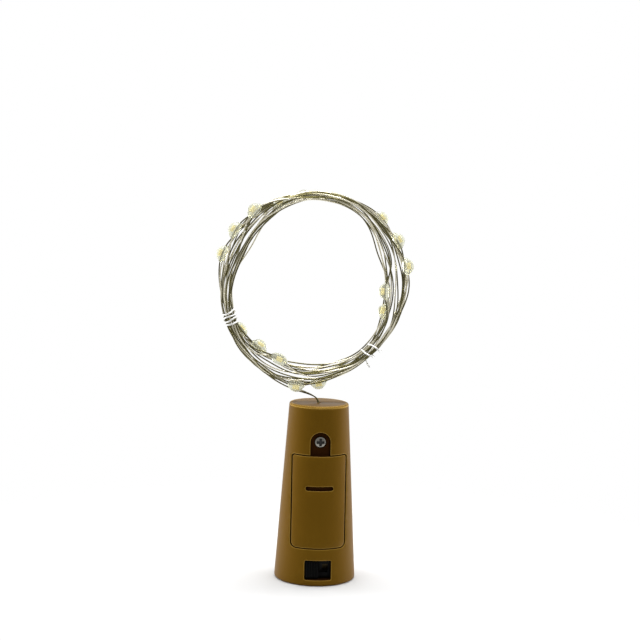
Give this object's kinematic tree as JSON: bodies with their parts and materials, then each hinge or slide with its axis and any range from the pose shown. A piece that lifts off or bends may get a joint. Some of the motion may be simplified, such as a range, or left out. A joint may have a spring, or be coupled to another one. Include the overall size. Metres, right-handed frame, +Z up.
{
  "type": "cork bottle light",
  "caption": "Cork-shaped battery plug for a bottle neck, with a screwed battery cover, a slide switch and a tied coil of fine light string leaving its top.",
  "frame": {"origin": "centre of the plug's wide flat base", "axes": "+Z up along the plug's axis to the hole where the string leaves, -Y out of the battery cover"},
  "size_m": [0.0533, 0.022, 0.1054],
  "materials": {
    "cork_plastic": "ochre-brown moulded plastic, matte",
    "screw_steel": "plated steel",
    "knob_plastic": "black, ribbed",
    "switch_steel": "plated sheet",
    "switch_board": "insulating board",
    "switch_brass": "plain brass sheet",
    "cell_steel": "nickel-plated can",
    "contact_nickel": "nickel plated",
    "lead_black": "insulated wire",
    "lead_red": "insulated wire",
    "glue": "cloudy glue",
    "string_wire": "enamelled wire, silvery olive grey",
    "tie_wire": "bright bare wire",
    "resin": "clear resin",
    "chip": "yellow light chip"
  },
  "bodies": {
    "plug": {"front_shell": "cork_plastic", "rear_shell": "cork_plastic", "button_cell_1": "cell_steel", "button_cell_2": "cell_steel", "button_cell_3": "cell_steel", "positive_contact": "contact_nickel", "negative_contact": "contact_nickel", "contact_spring": "contact_nickel", "switch_frame": "switch_steel", "switch_base": "switch_board", "switch_terminals": "switch_brass", "jumper_wire": "lead_black", "inner_lead_1": "lead_red", "inner_lead_2": "lead_black", "wire_anchor": "glue", "string_lead": "string_wire", "string_coil": "string_wire", "left_tie": "tie_wire", "right_tie": "tie_wire", "led_drop_01": "resin", "led_drop_02": "resin", "led_drop_03": "resin", "led_drop_04": "resin", "led_drop_05": "resin", "led_drop_06": "resin", "led_drop_07": "resin", "led_drop_08": "resin", "led_drop_09": "resin", "led_drop_10": "resin", "led_drop_11": "resin", "led_drop_12": "resin", "led_drop_13": "resin", "led_drop_14": "resin", "led_drop_15": "resin", "led_chip_01": "chip", "led_chip_02": "chip", "led_chip_03": "chip", "led_chip_04": "chip", "led_chip_05": "chip", "led_chip_06": "chip", "led_chip_07": "chip", "led_chip_08": "chip", "led_chip_09": "chip", "led_chip_10": "chip", "led_chip_11": "chip", "led_chip_12": "chip", "led_chip_13": "chip", "led_chip_14": "chip", "led_chip_15": "chip"},
    "cover": {"battery_cover": "cork_plastic"},
    "screw": {"cover_screw": "screw_steel"},
    "slider": {"switch_slider": "knob_plastic", "slider_contact": "switch_brass"}
  },
  "joints": [
    {"name": "cover_lift", "type": "slide", "parent": "plug", "child": "cover", "axis": [0, -1, 0], "range_m": [0, 0.03]},
    {"name": "screw_turn", "type": "hinge", "parent": "cover", "child": "screw", "pos_m": [0, -0.0074, 0.0385], "axis": [0, -1, 0], "continuous": true},
    {"name": "switch_slide", "type": "slide", "parent": "plug", "child": "slider", "axis": [1, 0, 0], "range_m": [0, 0.003]}
  ]
}
